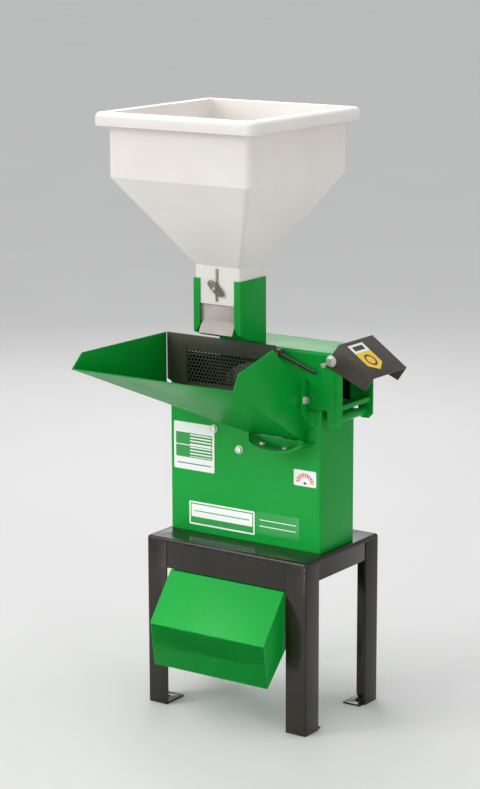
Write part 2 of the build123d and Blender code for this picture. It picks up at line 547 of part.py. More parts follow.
# Back panel of the tray, cut away round the throat, with the air screen's window.
with BuildPart() as panel:
    slab_xz([(PANEL_LEFT, PANEL_TOP), (PANEL_RIGHT, PANEL_TOP), (PANEL_RIGHT, THROAT_TOP + 4),
             (THROAT_LEFT - 4, THROAT_TOP + 4), (THROAT_LEFT - 4, over_case(-59)),
             (PANEL_LEFT, over_case(23))],
            PANEL_Y, PANEL_Y + SHEET)
    block(SCREEN_LEFT, THROAT_LEFT - 12, PANEL_Y - 1, PANEL_Y + SHEET + 1, SCREEN_BOTTOM, SCREEN_TOP,
          Mode.SUBTRACT)
    block(SCREEN_LEFT + 5, SCREEN_RIGHT, PANEL_Y - 1, PANEL_Y + SHEET + 1, THROAT_TOP + 12,
          SCREEN_TOP, Mode.SUBTRACT)
keep(panel.part, "feed_panel")

# Perforated air screen behind the window.
SCREEN_SHEET = 1.2
with BuildPart() as screen:
    y0 = PANEL_Y + SHEET
    slab_xz([(SCREEN_LEFT - 3, SCREEN_TOP + 3), (SCREEN_RIGHT + 3, SCREEN_TOP + 3),
             (SCREEN_RIGHT + 3, THROAT_TOP + 9), (THROAT_LEFT - 9, THROAT_TOP + 9),
             (THROAT_LEFT - 9, SCREEN_BOTTOM - 3), (SCREEN_LEFT - 3, SCREEN_BOTTOM - 3)],
            y0, y0 + SCREEN_SHEET)
    row_step = SCREEN_PITCH * 0.866
    places = []
    for row in range(10):
        z = SCREEN_TOP - 4 - row * row_step
        for col in range(22):
            x = SCREEN_LEFT + 4 + col * SCREEN_PITCH + (row % 2) * SCREEN_PITCH / 2
            edge = SCREEN_RIGHT if z > THROAT_TOP + 15 else THROAT_LEFT - 12
            if x < edge - 3 and z > SCREEN_BOTTOM + 3:
                places.append((x, z))
    with BuildSketch(front_plane(y0)):
        with Locations(*places):
            Circle(SCREEN_HOLE_R)
    extrude(amount=-SCREEN_SHEET, mode=Mode.SUBTRACT)
keep(screen.part, "air_screen")

# Channel that holds the hopper's neck: back plate, two cheeks, two front lips.
with BuildPart() as channel:
    cheek = [(CHANNEL_FRONT, CHANNEL_TOP), (CHANNEL_BACK, CHANNEL_TOP), (CHANNEL_BACK, over_case(126.5)),
             (CHANNEL_FRONT + 27, over_case(142.5)), (CHANNEL_FRONT + 2, over_case(153)),
             (CHANNEL_FRONT, over_case(155))]
    slab_yz(cheek, CHANNEL_LEFT, CHANNEL_LEFT + CHANNEL_SHEET)
    slab_yz(cheek, CHANNEL_RIGHT - CHANNEL_SHEET, CHANNEL_RIGHT)
    block(CHANNEL_LEFT, CHANNEL_RIGHT, CHANNEL_BACK - CHANNEL_SHEET, CHANNEL_BACK, CHANNEL_FOOT,
          CHANNEL_TOP)
    for s, edge in ((1, CHANNEL_LEFT), (-1, CHANNEL_RIGHT)):
        slab_xz([(edge, CHANNEL_TOP), (edge + s * LIP_WIDE, CHANNEL_TOP),
                 (edge + s * LIP_WIDE, LIP_BOTTOM + 3), (edge + s * (LIP_WIDE - 8), over_case(155)),
                 (edge, over_case(155))], CHANNEL_FRONT, CHANNEL_FRONT + CHANNEL_SHEET)
keep(channel.part, "hopper_channel")

# Hopper: moulded box, tapering to a neck that sits in the channel.
NECK_X = CHANNEL_RIGHT - CHANNEL_LEFT - 2 * CHANNEL_SHEET - 2 * GAP
NECK_FRONT = CHANNEL_FRONT + CHANNEL_SHEET + GAP
NECK_BACK = CHANNEL_BACK - CHANNEL_SHEET - GAP
NECK_CENTRE = ((CHANNEL_LEFT + CHANNEL_RIGHT) / 2, (NECK_FRONT + NECK_BACK) / 2)


def hopper_body(grow, bottom, top, mode):
    """Neck, taper and box, each section grown outwards by the same amount."""
    def section(centre, wide, deep, corner, z):
        with BuildSketch(Plane.XY.offset(z)) as outline:
            with Locations(centre):
                RectangleRounded(wide + 2 * grow, deep + 2 * grow, corner + grow)
        return outline.sketch
    neck = (NECK_CENTRE, NECK_X, NECK_BACK - NECK_FRONT, NECK_CORNER)
    box = ((BOX_CENTRE_X, BOX_CENTRE_Y), BOX_X, BOX_Y, BOX_CORNER)
    extrude(section(*neck, bottom), amount=NECK_TOP - bottom, mode=mode)
    loft([section(*neck, NECK_TOP), section(*box, BOX_BOTTOM)], mode=mode)
    extrude(section(*box, BOX_BOTTOM), amount=top - BOX_BOTTOM, mode=mode)


with BuildPart() as hopper:
    hopper_body(0, NECK_BOTTOM, HOPPER_TOP, Mode.ADD)
    with BuildSketch(Plane.XY.offset(HOPPER_TOP - RIM_DROP)):
        with Locations((BOX_CENTRE_X, BOX_CENTRE_Y)):
            RectangleRounded(BOX_X + 2 * RIM_OUT, BOX_Y + 2 * RIM_OUT, RIM_CORNER)
    extrude(amount=RIM_DROP)
    fillet(hopper.faces().sort_by(Axis.Z)[-1].edges(), 8)
    with BuildSketch(Plane.XY.offset(HOPPER_TOP - RIM_DROP)):
        with Locations((BOX_CENTRE_X, BOX_CENTRE_Y)):
            RectangleRounded(BOX_X + 2 * RIM_OUT - 8, BOX_Y + 2 * RIM_OUT - 8, RIM_CORNER - 4)
            RectangleRounded(BOX_X, BOX_Y, BOX_CORNER, mode=Mode.SUBTRACT)
    extrude(amount=RIM_DROP - 4, mode=Mode.SUBTRACT)
    hopper_body(-HOPPER_WALL, NECK_BOTTOM - 1, HOPPER_TOP + 1, Mode.SUBTRACT)
    slot_x = BOX_CENTRE_X
    block(slot_x - 4.5, slot_x + 4.5, NECK_FRONT - 1, NECK_FRONT + HOPPER_WALL + 1,
          NECK_BOTTOM + 6, NECK_TOP - 5, Mode.SUBTRACT)
keep(hopper.part, "grain_hopper")

# Gate: a plate behind the neck's front wall, kicked forward below it, with a stud.
GATE_LEFT, GATE_RIGHT = CHANNEL_LEFT + 9.3, CHANNEL_RIGHT - 9.2
KICK_LEFT, KICK_RIGHT = CHANNEL_LEFT + LIP_WIDE + 1, CHANNEL_RIGHT - LIP_WIDE - 1
GATE_Y = NECK_FRONT + HOPPER_WALL + GAP
GATE_STUD_Z = CHANNEL_TOP - 18.0
GATE_BOTTOM, KICK_BOTTOM = CHANNEL_TOP - 87.0, CHANNEL_TOP - 112.0
with BuildPart() as gate:
    block(GATE_LEFT, GATE_RIGHT, GATE_Y, GATE_Y + 2, GATE_BOTTOM, CHANNEL_TOP + 1)
    slab_yz([(GATE_Y, GATE_BOTTOM), (GATE_Y + 2, GATE_BOTTOM), (GATE_Y - 12, KICK_BOTTOM),
             (GATE_Y - 14, KICK_BOTTOM)],
            KICK_LEFT, KICK_RIGHT)
    rod_y(BOX_CENTRE_X, GATE_STUD_Z, 4, NECK_FRONT - 14, GATE_Y)
keep(gate.part, "feed_gate")

with BuildPart() as wing_nut:
    near = NECK_FRONT - 0.4
    rod_y(BOX_CENTRE_X, GATE_STUD_Z, 9, near - 7, near)
    for s in (-1, 1):
        slab_xz([(BOX_CENTRE_X + s * 4, GATE_STUD_Z - 4), (BOX_CENTRE_X + s * 20, GATE_STUD_Z + 4),
                 (BOX_CENTRE_X + s * 26, GATE_STUD_Z + 14), (BOX_CENTRE_X + s * 17, GATE_STUD_Z + 14),
                 (BOX_CENTRE_X + s * 5, GATE_STUD_Z + 7)], near - 10, near - 4)
    rod_y(BOX_CENTRE_X, GATE_STUD_Z, 4 + RUN_FIT, near - 12, near + 1, Mode.SUBTRACT)
keep(wing_nut.part, "gate_wing_nut")

# Arc-shaped shelf under the throat with its screws.
CRADLE_X, CRADLE_Z, CRADLE_R = 88.6, CASE_TOP + 33.0, 131.0
SHELF_LEFT, SHELF_FRONT = 6.0, CASE_FRONT - 40.0
with BuildPart() as cradle:
    rod_y(CRADLE_X, CRADLE_Z, CRADLE_R, SHELF_FRONT, CASE_FRONT)
    rod_y(CRADLE_X, CRADLE_Z, CRADLE_R - 7, SHELF_FRONT - 1, CASE_FRONT + 1, Mode.SUBTRACT)
    block(-100, 300, -200, 0, over_case(-70), over_case(221), Mode.SUBTRACT)
    with BuildSketch(Plane.XY.offset(over_case(-179))):
        with BuildLine():
            Polyline((-100, 0), (SHELF_LEFT, CASE_FRONT), (SHELF_LEFT + 28, SHELF_FRONT),
                     (SHELF_LEFT + 28, -200), (-100, -200), close=True)
        make_face()
    extrude(amount=300, mode=Mode.SUBTRACT)
    block(THROAT_RIGHT + 50, 300, -200, 0, over_case(-179), over_case(221), Mode.SUBTRACT)
keep(cradle.part, "throat_shelf")

with BuildPart() as shelf_screws:
    for angle in (-106, -79):
        a = radians(angle)
        seat = CRADLE_R - 7.3
        x, z = CRADLE_X + seat * cos(a), CRADLE_Z + seat * sin(a)
        plane = Plane(origin=(x, CASE_FRONT - 21, z), x_dir=(0, 1, 0), z_dir=(-cos(a), 0, -sin(a)))
        with BuildSketch(plane):
            Circle(6.5)
        extrude(amount=4)
keep(shelf_screws.part, "shelf_screws")

# Lug beside the tray's right wall with its bolt.
LUG_Y = CASE_FRONT - 25.0
BOLT_Y, BOLT_Z = CASE_FRONT - 14.0, CASE_TOP + 19.0
with BuildPart() as lug:
    slab_yz([(COVER_FRONT - 1.5, over_case(63)), (LUG_Y, over_case(59)), (LUG_Y, over_case(-7)),
             (CASE_FRONT, over_case(-39)),
             (CASE_FRONT, CASE_TOP - 2), (COVER_FRONT - 1.5, CASE_TOP - 2)],
            TRAY_RIGHT + 2, TRAY_RIGHT + 6)
    block(TRAY_RIGHT, TRAY_RIGHT + 22, CASE_FRONT - 2, CASE_FRONT, over_case(-39), over_case(-7))
keep(lug.part, "tray_lug")

with BuildPart() as lug_bolt:
    rod_x(BOLT_Y, BOLT_Z, 9, TRAY_RIGHT + 6, TRAY_RIGHT + 8)
    with BuildSketch(side_plane(TRAY_RIGHT + 8)):
        with Locations((BOLT_Y, BOLT_Z)):
            RegularPolygon(7.5, 6)
    extrude(amount=6)
keep(lug_bolt.part, "lug_bolt")

# Screws on the casing's front wall; the upper one holds the data plate's corner.
FILM = 0.8
with BuildPart() as front_bolts:
    for x, z, seat in ((-17, over_deck(195), CASE_FRONT), (-81, over_deck(232), CASE_FRONT - FILM)):
        rod_y(x, z, 9, seat - 1.5, seat)
        hexagon_y(x, z, 7.5, seat - 7, seat - 1.5)
keep(front_bolts.part, "front_bolts")

# Latch lever: a rod on a clevis at the panel's upper corner.
LEVER_X, LEVER_Z, LEVER_Y, LEVER_R = PANEL_RIGHT + 9.0, CASE_TOP + 110.0, PANEL_Y - 2.0, 4.0
LEVER_END_X, LEVER_END_Z = LEVER_X + 90.0, LEVER_Z - 32.0
with BuildPart() as clevis:
    rod_y(LEVER_X, LEVER_Z, 3, LEVER_Y - 8, COVER_FRONT - 0.4)
    rod_y(LEVER_X, LEVER_Z, 6, LEVER_Y - 10, LEVER_Y - 7)
    block(PANEL_RIGHT - 6, LEVER_X + 4, PANEL_Y + SHEET, COVER_FRONT - 0.4, LEVER_Z - 8,
          LEVER_Z + 8)
keep(clevis.part, "lever_bracket")

with BuildPart() as lever:
    rod_y(LEVER_X, LEVER_Z, 8, LEVER_Y - 6.5, LEVER_Y + 3.5)
    dx, dz = LEVER_END_X - LEVER_X, LEVER_END_Z - LEVER_Z
    reach = hypot(dx, dz)
    plane = Plane(origin=(LEVER_X, LEVER_Y - 1.5, LEVER_Z), x_dir=(0, 1, 0),
                  z_dir=(dx / reach, 0, dz / reach))
    with BuildSketch(plane):
        Circle(LEVER_R)
    extrude(amount=reach)
    rod_y(LEVER_X, LEVER_Z, 3 + RUN_FIT, LEVER_Y - 10, LEVER_Y + 5, Mode.SUBTRACT)
keep(lever.part, "latch_lever")

# Plates and labels on the casing's front wall, without lettering.
for name, x0, x1, z0, z1 in (("name_plate", -147, 22, 15, 66), ("data_plate", -186, -81, 134, 237),
                             ("warning_label", 26, 134, 20, 68),
                             ("turn_label", 120, 175, 139, 173)):
    with BuildPart() as plate:
        block(x0, x1, CASE_FRONT - FILM, CASE_FRONT, over_deck(z0), over_deck(z1))
        fillet(plate.edges().filter_by(Axis.Y), 3)
    keep(plate.part, name)
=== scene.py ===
import json
import math

import bpy
from mathutils import Euler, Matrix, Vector


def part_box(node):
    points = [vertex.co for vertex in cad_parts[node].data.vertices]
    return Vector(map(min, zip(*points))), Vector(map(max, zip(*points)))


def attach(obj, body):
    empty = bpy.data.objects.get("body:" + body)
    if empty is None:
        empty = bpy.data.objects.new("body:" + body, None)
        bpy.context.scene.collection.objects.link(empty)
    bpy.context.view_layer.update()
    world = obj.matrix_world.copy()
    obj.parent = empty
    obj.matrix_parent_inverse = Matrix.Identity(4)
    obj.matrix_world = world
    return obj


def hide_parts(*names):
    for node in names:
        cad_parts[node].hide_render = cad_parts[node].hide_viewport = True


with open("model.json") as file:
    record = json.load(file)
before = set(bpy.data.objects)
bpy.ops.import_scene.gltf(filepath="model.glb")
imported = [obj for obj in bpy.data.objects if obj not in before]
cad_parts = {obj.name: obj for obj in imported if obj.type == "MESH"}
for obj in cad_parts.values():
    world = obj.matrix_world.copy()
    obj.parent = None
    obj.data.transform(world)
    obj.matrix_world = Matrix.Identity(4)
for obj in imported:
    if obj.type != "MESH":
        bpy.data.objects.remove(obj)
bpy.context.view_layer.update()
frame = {"nodes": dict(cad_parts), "record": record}

# ---------------------------------------------------------------- camera
# Seen from the front right and a little above, from about five metres away.
camera_data = bpy.data.cameras.new("camera")
camera = bpy.data.objects.new("camera", camera_data)
bpy.context.scene.collection.objects.link(camera)
SENSOR_WIDTH, FOCAL_LENGTH = 36.0, 107.04          # millimetres
NEAR_CLIP, FAR_CLIP = 0.1, 50.0
CAMERA_PLACE = (2.7007, -4.0030, 1.7301)
CAMERA_TURN, CAMERA_DIP, CAMERA_ROLL = 0.60349, 0.21471, -0.0026
camera_data.sensor_width, camera_data.lens = SENSOR_WIDTH, FOCAL_LENGTH
camera_data.clip_start, camera_data.clip_end = NEAR_CLIP, FAR_CLIP
camera.location = CAMERA_PLACE
camera.rotation_mode = "QUATERNION"
camera.rotation_quaternion = (Euler((math.pi / 2 - CAMERA_DIP, 0, CAMERA_TURN)).to_quaternion()
                              @ Euler((0, 0, CAMERA_ROLL)).to_quaternion())
bpy.context.scene.camera = camera

# ---------------------------------------------------------------- studio
# A pale floor that the machine stands on, and large soft lamps round it.


def deselect():
    bpy.ops.object.select_all(action="DESELECT")


class Field:
    """A shader value or colour that takes part in plain arithmetic."""

    def __init__(self, paint, socket):
        self.paint, self.socket = paint, socket

    def combine(self, operation, other, swapped=False):
        pair = (other, self) if swapped else (self, other)
        return self.paint.node("ShaderNodeMath", {"operation": operation},
                               {0: pair[0], 1: pair[1]})

    def __add__(self, other):
        return self.combine("ADD", other)

    def __radd__(self, other):
        return self.combine("ADD", other, True)

    def __sub__(self, other):
        return self.combine("SUBTRACT", other)

    def __rsub__(self, other):
        return self.combine("SUBTRACT", other, True)

    def __mul__(self, other):
        return self.combine("MULTIPLY", other)

    def __rmul__(self, other):
        return self.combine("MULTIPLY", other, True)

    def __gt__(self, other):
        return self.combine("GREATER_THAN", other)

    def __lt__(self, other):
        return self.combine("LESS_THAN", other)


class Paint:
    """A finish: one principled shader with its uniform values, and fields that vary on it."""

    def __init__(self, name, colour, roughness, **values):
        self.material = bpy.data.materials.new(name)
        self.material.use_nodes = True
        self.nodes = self.material.node_tree.nodes
        self.links = self.material.node_tree.links
        self.shader = self.nodes["Principled BSDF"]
        self.shader.inputs["Base Color"].default_value = (*colour, 1)
        self.shader.inputs["Roughness"].default_value = roughness
        for key, value in values.items():
            self.shader.inputs[key.replace("_", " ")].default_value = value

    def node(self, kind, settings, inputs, output=0):
        made = self.nodes.new(kind)
        for key, value in settings.items():
            setattr(made, key, value)
        for key, value in inputs.items():
            if isinstance(value, Field):
                self.links.new(value.socket, made.inputs[key])
            else:
                made.inputs[key].default_value = value
        return Field(self, made.outputs[output])

    def place(self):
        return self.node("ShaderNodeTexCoord", {}, {}, "Object")

    def axes(self):
        split = self.nodes.new("ShaderNodeSeparateXYZ")
        self.links.new(self.place().socket, split.inputs[0])
        return [Field(self, split.outputs[k]) for k in range(3)]

    def noise(self, scale, detail=2.0, rough=0.5):
        return self.node("ShaderNodeTexNoise", {}, {"Vector": self.place(), "Scale": scale,
                                                    "Detail": detail, "Roughness": rough})

    def ramp(self, field, low, high, out_low=0.0, out_high=1.0):
        return self.node("ShaderNodeMapRange", {"clamp": True},
                         {0: field, 1: low, 2: high, 3: out_low, 4: out_high})

    def blend(self, mask, first, second):
        inputs = {0: mask, 6: first if isinstance(first, Field) else (*first, 1),
                  7: second if isinstance(second, Field) else (*second, 1)}
        return self.node("ShaderNodeMix", {"data_type": "RGBA"}, inputs, 2)

    def feed(self, socket, field):
        self.links.new(field.socket, self.shader.inputs[socket])

    def mottle(self, field, first, second, low=0.3, high=0.75):
        """The colour drifts from first to second as the field rises."""
        self.feed("Base Color", self.blend(self.ramp(field, low, high), first, second))

    def wear(self, field, smooth, rough):
        """The roughness drifts from smooth to rough as the field rises."""
        self.feed("Roughness", self.ramp(field, 0.3, 0.8, smooth, rough))

    def bump(self, height, strength, distance):
        made = self.node("ShaderNodeBump", {}, {"Height": height, "Strength": strength,
                                                "Distance": distance})
        self.feed("Normal", made)


FLOOR_SIZE = 400
floor_paint = Paint("floor_grey", (0.66, 0.66, 0.65), 0.8)
floor_paint.feed("Base Color", floor_paint.blend(floor_paint.noise(1.5), (0.64, 0.64, 0.63),
                                                 (0.68, 0.68, 0.67)))
deselect()
bpy.ops.mesh.primitive_plane_add(size=FLOOR_SIZE)
floor = bpy.context.object
floor.name = "studio_floor"
floor.data.materials.append(floor_paint.material)


def lamp(name, place, aim, wide, tall, power):
    data = bpy.data.lights.new(name, "AREA")
    data.shape, data.size, data.size_y, data.energy = "RECTANGLE", wide, tall, power
    made = bpy.data.objects.new(name, data)
    made.location = place
    made.rotation_euler = (Vector(aim) - Vector(place)).to_track_quat("-Z", "Y").to_euler()
    bpy.context.scene.collection.objects.link(made)
    return made


# Each lamp: its name, its place, what it points at, its width and height, its watts.
CENTRE, DECK_FRONT = (0.0, 0.0, 0.7), (0.0, -0.2, 0.17)
lamp("key", (-2.2, -3.0, 2.3), CENTRE, 1.4, 2.0, 46)
lamp("top", (0.2, 0.4, 3.4), CENTRE, 2.2, 2.2, 30)
lamp("right", (3.2, -1.6, 1.5), CENTRE, 0.7, 2.0, 20)
low_front = lamp("low_front", (-0.5, -2.6, 0.35), DECK_FRONT, 0.5, 0.4, 0.8)
low_front.data.spread = math.radians(24)
lamp("back", (-2.2, 2.6, 2.4), CENTRE, 1.8, 1.8, 30)
sun_data = bpy.data.lights.new("soft_sky", "SUN")
sun_data.energy, sun_data.angle = 1.1, math.radians(80)
soft_sky = bpy.data.objects.new("soft_sky", sun_data)
soft_sky.rotation_euler = (math.radians(28), math.radians(-22), 0)
bpy.context.scene.collection.objects.link(soft_sky)
world = bpy.data.worlds.new("studio")
bpy.context.scene.world = world
world.use_nodes = True
sky = world.node_tree.nodes["Background"]
sky.inputs["Color"].default_value = (0.92, 0.93, 0.95, 1)
sky.inputs["Strength"].default_value = 0.5
bpy.context.scene.view_settings.view_transform = "Standard"

# ---------------------------------------------------------------- stand
# Folded steel deck on four angle-iron legs, sprayed in one coat of dark brown gloss paint.
# Dust makes the gloss uneven.
stand_paint = Paint("stand_enamel", (0.026, 0.019, 0.013), 0.2, Specular_IOR_Level=0.35,
                    Coat_Weight=0.12, Coat_Roughness=0.06)
dust = stand_paint.noise(9.0, 5.0, 0.62)
stand_paint.mottle(dust, (0.012, 0.009, 0.006), (0.020, 0.015, 0.011), 0.35, 0.8)
stand_paint.wear(dust, 0.12, 0.34)
stand_paint.bump(stand_paint.noise(420.0, 2.0), 0.05, 0.0004)


def body_name(node):
    return next(name for name, nodes in frame["record"]["behaviour"]["bodies"].items()
                if node in nodes)


def stand_for(piece, *nodes):
    """The piece rides where its first node rides, and takes its place."""
    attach(piece, body_name(nodes[0]))
    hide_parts(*nodes)


MERGE_GAP, FLAT_ANGLE = 0.000005, math.radians(0.5)


def eased(node, paint, radius, steps=3, sharp=35):
    """Copy of a sheet or bar with its doubles merged and its sharp edges rounded over."""
    source = frame["nodes"][node]
    piece = bpy.data.objects.new(node + "_finished", source.data.copy())
    bpy.context.scene.collection.objects.link(piece)
    deselect()
    piece.select_set(True)
    bpy.context.view_layer.objects.active = piece
    bpy.ops.object.mode_set(mode="EDIT")
    bpy.ops.mesh.select_all(action="SELECT")
    bpy.ops.mesh.remove_doubles(threshold=MERGE_GAP)
    bpy.ops.mesh.dissolve_limited(angle_limit=FLAT_ANGLE)
    bpy.ops.object.mode_set(mode="OBJECT")
    if radius:
        bevel = piece.modifiers.new("edges", "BEVEL")
        bevel.width, bevel.segments = radius, steps
        bevel.limit_method, bevel.angle_limit = "ANGLE", math.radians(sharp)
        bevel.use_clamp_overlap = True
        bevel.harden_normals = False
        bpy.ops.object.modifier_apply(modifier="edges")
    bpy.ops.object.shade_smooth_by_angle(angle=math.radians(30))
    piece.data.materials.clear()
    piece.data.materials.append(paint.material)
    stand_for(piece, node)
    return piece


for node in ("leg_front_left", "leg_front_right", "leg_back_left", "leg_back_right", "stand_deck"):
    eased(node, stand_paint, 0.0009)

# ---------------------------------------------------------------- green enamel sheet metal
# Chute, casing, cover, tray and channel: folded and welded sheet in glossy green enamel.
# The paint has a faint orange peel. Inside the casing, and behind the air screen, the colour is
# painted near-black as painted shade, so the screen's holes look into the dark;
# these masks are fixed to the sheet, so the painted shade behind the screen moves with the cover.
green_paint = Paint("green_enamel", (0.001, 0.30, 0.035), 0.36, Specular_IOR_Level=0.2,
                    Coat_Weight=0.04, Coat_Roughness=0.12)
cloud = green_paint.noise(6.0, 3.0)
enamel = green_paint.blend(green_paint.ramp(cloud, 0.3, 0.75),
                           (0.0005, 0.285, 0.030), (0.001, 0.32, 0.038))
x, y, z = green_paint.axes()
case_low, case_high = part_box("casing_shell")
cover_low, cover_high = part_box("upper_cover")
HALF_WALL, WALL, FLOOR_WALL = 0.0018, 0.003, 0.002
MASK_SLACK, COVER_GAP = 0.0005, 0.001
# Painted shade: the inside of the casing and cover is painted near-black in place of the shade
# inside the closed casing. The strip left of the cover, above the casing, stays green.
left_of_cover = (x < cover_low[0] - COVER_GAP) * (z > case_high[2] - HALF_WALL)
inside = ((x > case_low[0] + WALL - MASK_SLACK) * (x < case_high[0] - WALL + MASK_SLACK)
          * (y > case_low[1] + HALF_WALL) * (y < cover_high[1] - HALF_WALL)
          * (z > case_low[2] + FLOOR_WALL) * (z < cover_high[2] - HALF_WALL)
          * (1 - left_of_cover))
screen_low, screen_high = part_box("air_screen")
# Painted shade: the cover's sheet behind the air screen is painted near-black, so the holes look
# into the dark.
painted_shade_behind_screen = ((x > screen_low[0]) * (x < screen_high[0])
          * (z > screen_low[2]) * (z < screen_high[2])
          * (y > cover_low[1] - MASK_SLACK) * (y < cover_high[1]))
# Both painted-shade masks together turn the green enamel near-black (0.008, 0.010, 0.008).
painted_shade_mask = green_paint.node("ShaderNodeMath", {"operation": "MAXIMUM"}, {0: inside, 1: painted_shade_behind_screen})
green_paint.feed("Base Color", green_paint.blend(painted_shade_mask, enamel, (0.008, 0.010, 0.008)))
green_paint.wear(green_paint.noise(14.0, 4.0), 0.32, 0.44)
green_paint.bump(green_paint.noise(260.0, 2.0), 0.06, 0.0005)

for node in ("lower_chute", "casing_shell", "upper_cover", "tray_floor", "tray_left_wall",
             "tray_right_wall", "hopper_channel", "tray_lug", "outlet_sill", "hinge_tube",
             "hinge_pin"):
    eased(node, green_paint, 0.0008)
eased("throat_shelf", green_paint, 0.0016)

# ---------------------------------------------------------------- dark pressed parts
# Back panel of the tray with its air screen, and the outlet hood: matt dark enamel.
panel_paint = Paint("panel_enamel", (0.052, 0.047, 0.032), 0.45)
grain = panel_paint.noise(11.0, 4.0)
panel_paint.mottle(grain, (0.045, 0.041, 0.028), (0.062, 0.056, 0.040))
panel_paint.wear(grain, 0.38, 0.55)
panel_paint.bump(panel_paint.noise(380.0, 2.0), 0.08, 0.0004)
eased("feed_panel", panel_paint, 0.0007)
eased("air_screen", panel_paint, 0.0)
eased("lever_bracket", panel_paint, 0.0008)

hood_paint = Paint("dark_enamel", (0.040, 0.031, 0.023), 0.4)
speck = hood_paint.noise(13.0, 4.0)
hood_paint.mottle(speck, (0.036, 0.028, 0.021), (0.05, 0.04, 0.03))
hood_paint.wear(speck, 0.34, 0.5)
hood_paint.bump(hood_paint.noise(400.0, 2.0), 0.08, 0.0004)
eased("deflector_hood", hood_paint, 0.0012)

# ---------------------------------------------------------------- hopper
# Rotation-moulded white plastic: box, tapered walls and neck in one skin with a rolled rim.
hopper_paint = Paint("hopper_plastic", (0.82, 0.79, 0.75), 0.38, Subsurface_Weight=0.1,
                     Subsurface_Scale=0.006)
milk = hopper_paint.noise(7.0, 3.0)
hopper_paint.mottle(milk, (0.79, 0.755, 0.71), (0.85, 0.825, 0.79))
hopper_paint.wear(hopper_paint.noise(18.0, 4.0), 0.3, 0.46)
hopper_paint.bump(hopper_paint.noise(300.0, 3.0), 0.1, 0.0006)
eased("grain_hopper", hopper_paint, 0.002, 3, 30)

# ---------------------------------------------------------------- gate, nut, screws, lever
# Zinc-plated sheet and fasteners, a bronze-grey wing nut and a black latch rod. The nut is
# one tilted bar, thick at its hub and thin at its two tips.
gate_paint = Paint("gate_sheet", (0.46, 0.40, 0.37), 0.5, Metallic=0.1)
gate_paint.wear(gate_paint.noise(30.0, 4.0), 0.45, 0.6)
gate_paint.feed("Base Color", gate_paint.blend(gate_paint.noise(16.0, 4.0), (0.42, 0.365, 0.34),
                                               (0.50, 0.44, 0.41)))
eased("feed_gate", gate_paint, 0.0005)

zinc_paint = Paint("zinc_fastener", (0.72, 0.70, 0.66), 0.3, Metallic=0.8)
zinc_paint.wear(zinc_paint.noise(90.0, 3.0), 0.22, 0.45)
for node in ("front_bolts", "shelf_screws", "lug_bolt", "housing_bolts",
             "deflector_screw_front", "deflector_screw_back"):
    eased(node, zinc_paint, 0.0008, 3, 25)

nut_paint = Paint("wing_nut_bronze", (0.20, 0.185, 0.13), 0.4, Metallic=0.7)
nut_paint.wear(nut_paint.noise(80.0, 3.0), 0.3, 0.5)
nut_low, nut_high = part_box("gate_wing_nut")
NUT_HUB_HEIGHT, NUT_SLACK, NUT_TILT = 0.009, 0.001, math.radians(38)
NUT_LONG, NUT_TALL, NUT_DEEP = 0.044, 0.017, nut_high[1] - nut_low[1] - NUT_SLACK
NUT_PLACE = ((nut_low[0] + nut_high[0]) / 2, (nut_low[1] + nut_high[1]) / 2,
             nut_low[2] + NUT_HUB_HEIGHT)
WING_THIN_Z, WING_THIN_Y = 0.45, 0.55
deselect()
bpy.ops.mesh.primitive_cube_add(size=1)
nut = bpy.context.object
nut.name = "gate_wing_nut_finished"
nut.scale = (NUT_LONG, NUT_DEEP, NUT_TALL)
bpy.ops.object.transform_apply(location=False, rotation=False, scale=True)
bpy.ops.object.mode_set(mode="EDIT")
bpy.ops.mesh.subdivide(number_cuts=3)
bpy.ops.object.mode_set(mode="OBJECT")
for vertex in nut.data.vertices:
    share = abs(vertex.co.x) / (NUT_LONG / 2)
    vertex.co.z *= 1 - WING_THIN_Z * share * share
    vertex.co.y *= 1 - WING_THIN_Y * share
rounding = nut.modifiers.new("rounding", "SUBSURF")
rounding.levels = rounding.render_levels = 2
bpy.ops.object.modifier_apply(modifier="rounding")
nut.rotation_euler = (0, NUT_TILT, 0)
nut.location = NUT_PLACE
bpy.ops.object.transform_apply(location=True, rotation=True, scale=True)
bpy.ops.object.shade_smooth_by_angle(angle=math.radians(40))
nut.data.materials.append(nut_paint.material)
stand_for(nut, "gate_wing_nut")

rod_paint = Paint("lever_black", (0.035, 0.014, 0.014), 0.25)
rod_paint.wear(rod_paint.noise(60.0, 3.0), 0.2, 0.35)
eased("latch_lever", rod_paint, 0.0008)

# ---------------------------------------------------------------- rotor and what holds it
# Plain rolled steel, ground shaft and knives, a cast bearing housing and ball bearings.
steel_paint = Paint("bare_steel", (0.36, 0.36, 0.37), 0.42, Metallic=0.85)
steel_paint.wear(steel_paint.noise(25.0, 5.0), 0.34, 0.58)
steel_paint.feed("Base Color", steel_paint.blend(steel_paint.noise(12.0, 5.0), (0.3, 0.3, 0.31),
                                                 (0.42, 0.415, 0.41)))
ground_paint = Paint("ground_steel", (0.6, 0.6, 0.62), 0.22, Metallic=1.0)
ground_paint.wear(ground_paint.noise(120.0, 3.0), 0.16, 0.34)
cast_paint = Paint("cast_housing", (0.11, 0.115, 0.12), 0.6, Metallic=0.4)
cast_paint.bump(cast_paint.noise(220.0, 4.0), 0.35, 0.0008)
cast_paint.wear(cast_paint.noise(20.0, 4.0), 0.5, 0.7)
race_paint = Paint("bearing_steel", (0.7, 0.7, 0.72), 0.12, Metallic=1.0)
race_paint.wear(race_paint.noise(60.0, 3.0), 0.08, 0.2)
PLAIN = {"bare_steel": steel_paint, "ground_steel": ground_paint, "cast_housing": cast_paint,
         "bearing_steel": race_paint}
for entry in frame["record"]["subparts"]:
    if entry["material_slot"] in PLAIN:
        for holder in frame["nodes"][entry["node"]].material_slots:
            holder.material = PLAIN[entry["material_slot"]].material

